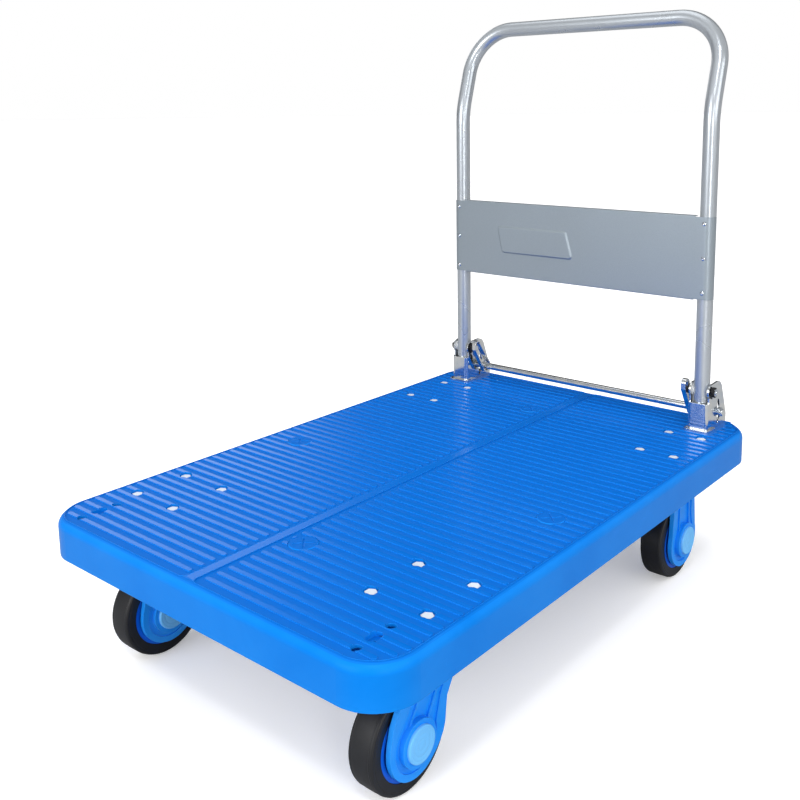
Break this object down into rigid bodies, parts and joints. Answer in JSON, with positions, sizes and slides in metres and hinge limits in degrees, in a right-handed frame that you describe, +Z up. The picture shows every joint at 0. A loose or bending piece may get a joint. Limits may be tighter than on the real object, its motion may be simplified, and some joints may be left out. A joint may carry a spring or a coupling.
{
  "type": "folding platform cart",
  "caption": "Platform cart with a ribbed plastic deck, two swivel and two rigid casters, and a tube handle with a sheet panel that folds down over the deck.",
  "frame": {"origin": "on the floor under the middle of the deck", "axes": "+X away from the handle along the deck's length, +Y to the left of the person pushing, +Z up"},
  "size_m": [0.9, 0.6, 0.8763],
  "materials": {
    "deck_plastic": "satin moulded polypropylene",
    "fork_plastic": "moulded nylon",
    "hub_plastic": "moulded nylon",
    "cap_plastic": "moulded plastic",
    "tyre_rubber": "matte rubber",
    "handle_coat": "silver powder coat",
    "panel_coat": "silver powder coat",
    "zinc_plate": "bright zinc plate",
    "bearing_steel": "ground steel",
    "bolt_heads": "pale zinc",
    "nylon_white": "natural nylon",
    "spring_black": "blackened spring steel",
    "black_plastic": "moulded"
  },
  "bodies": {
    "deck": {"deck_shell": "deck_plastic", "deck_plugs": "deck_plastic", "caster_bolts": "bolt_heads", "caster_nuts": "zinc_plate", "hinge_bracket_left": "zinc_plate", "hinge_bracket_right": "zinc_plate", "bracket_bolts": "zinc_plate", "bracket_nuts": "zinc_plate", "pivot_pins": "zinc_plate", "pivot_clips": "zinc_plate", "lock_springs": "spring_black", "front_left_plate": "zinc_plate", "front_left_kingpin": "zinc_plate", "front_left_balls": "bearing_steel", "front_right_plate": "zinc_plate", "front_right_kingpin": "zinc_plate", "front_right_balls": "bearing_steel", "rear_left_fork": "fork_plastic", "rear_left_axle": "zinc_plate", "rear_left_axle_nut": "zinc_plate", "rear_left_spacers": "zinc_plate", "rear_left_caps": "cap_plastic", "rear_right_fork": "fork_plastic", "rear_right_axle": "zinc_plate", "rear_right_axle_nut": "zinc_plate", "rear_right_spacers": "zinc_plate", "rear_right_caps": "cap_plastic"},
    "handle": {"handle_tube": "handle_coat", "handle_panel": "panel_coat", "panel_rivets": "zinc_plate", "pivot_bushes": "nylon_white", "handle_end_plugs": "black_plastic"},
    "lock_bar": {"lock_bar": "zinc_plate", "latch_arms": "zinc_plate", "lock_bar_rings": "zinc_plate"},
    "front_left_wheel": {"front_left_hub": "hub_plastic", "front_left_bearings": "bearing_steel", "front_left_tyre": "tyre_rubber"},
    "front_left_swivel": {"front_left_fork": "fork_plastic", "front_left_axle": "zinc_plate", "front_left_axle_nut": "zinc_plate", "front_left_spacers": "zinc_plate", "front_left_caps": "cap_plastic"},
    "front_right_wheel": {"front_right_hub": "hub_plastic", "front_right_bearings": "bearing_steel", "front_right_tyre": "tyre_rubber"},
    "front_right_swivel": {"front_right_fork": "fork_plastic", "front_right_axle": "zinc_plate", "front_right_axle_nut": "zinc_plate", "front_right_spacers": "zinc_plate", "front_right_caps": "cap_plastic"},
    "rear_left_wheel": {"rear_left_hub": "hub_plastic", "rear_left_bearings": "bearing_steel", "rear_left_tyre": "tyre_rubber"},
    "rear_right_wheel": {"rear_right_hub": "hub_plastic", "rear_right_bearings": "bearing_steel", "rear_right_tyre": "tyre_rubber"}
  },
  "joints": [
    {"name": "handle_fold", "type": "hinge", "parent": "deck", "child": "handle", "pos_m": [-0.3797, 0, 0.278], "axis": [0, 1, 0], "range_deg": [0, 96]},
    {"name": "lock_bar_press", "type": "slide", "parent": "deck", "child": "lock_bar", "axis": [0, 0, -1], "range_m": [0, 0.007], "stiffness_N_per_m": 1500, "springref_m": -0.02},
    {"name": "front_left_swivel", "type": "hinge", "parent": "deck", "child": "front_left_swivel", "pos_m": [0.2916, 0.2184, 0.15], "axis": [0, 0, 1], "continuous": true},
    {"name": "front_left_wheel_spin", "type": "hinge", "parent": "front_left_swivel", "child": "front_left_wheel", "pos_m": [0.3356, 0.2184, 0.0625], "axis": [0, 1, 0], "continuous": true},
    {"name": "front_right_swivel", "type": "hinge", "parent": "deck", "child": "front_right_swivel", "pos_m": [0.2916, -0.2184, 0.15], "axis": [0, 0, 1], "continuous": true},
    {"name": "front_right_wheel_spin", "type": "hinge", "parent": "front_right_swivel", "child": "front_right_wheel", "pos_m": [0.3356, -0.2184, 0.0625], "axis": [0, 1, 0], "continuous": true},
    {"name": "rear_left_wheel_spin", "type": "hinge", "parent": "deck", "child": "rear_left_wheel", "pos_m": [-0.2914, 0.2306, 0.0625], "axis": [0, 1, 0], "continuous": true},
    {"name": "rear_right_wheel_spin", "type": "hinge", "parent": "deck", "child": "rear_right_wheel", "pos_m": [-0.2914, -0.2306, 0.0625], "axis": [0, 1, 0], "continuous": true}
  ]
}
